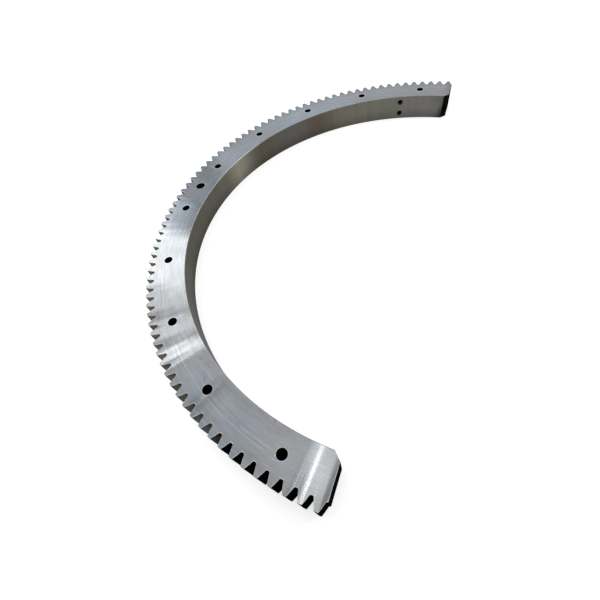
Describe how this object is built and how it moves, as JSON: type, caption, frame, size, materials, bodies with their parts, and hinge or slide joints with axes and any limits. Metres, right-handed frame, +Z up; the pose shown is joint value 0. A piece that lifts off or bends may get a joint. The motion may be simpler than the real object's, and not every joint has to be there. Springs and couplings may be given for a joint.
{
  "type": "girth gear segment",
  "caption": "Half of a large split spur ring gear: external involute teeth, a plain bore, and through holes for bolts around its flat rim face.",
  "frame": {"origin": "on the gear axis, at the level of the underside", "axes": "+Z up along the gear axis; the split is the plane x = 0, and the segment lies on its -X side, so its open side faces +X"},
  "size_m": [1.216, 2.4316, 0.13],
  "materials": {
    "machined_steel": "bare steel, turned faces, hobbed teeth, lightly oiled"
  },
  "bodies": {
    "root": {"gear_segment": "machined_steel"}
  },
  "joints": []
}
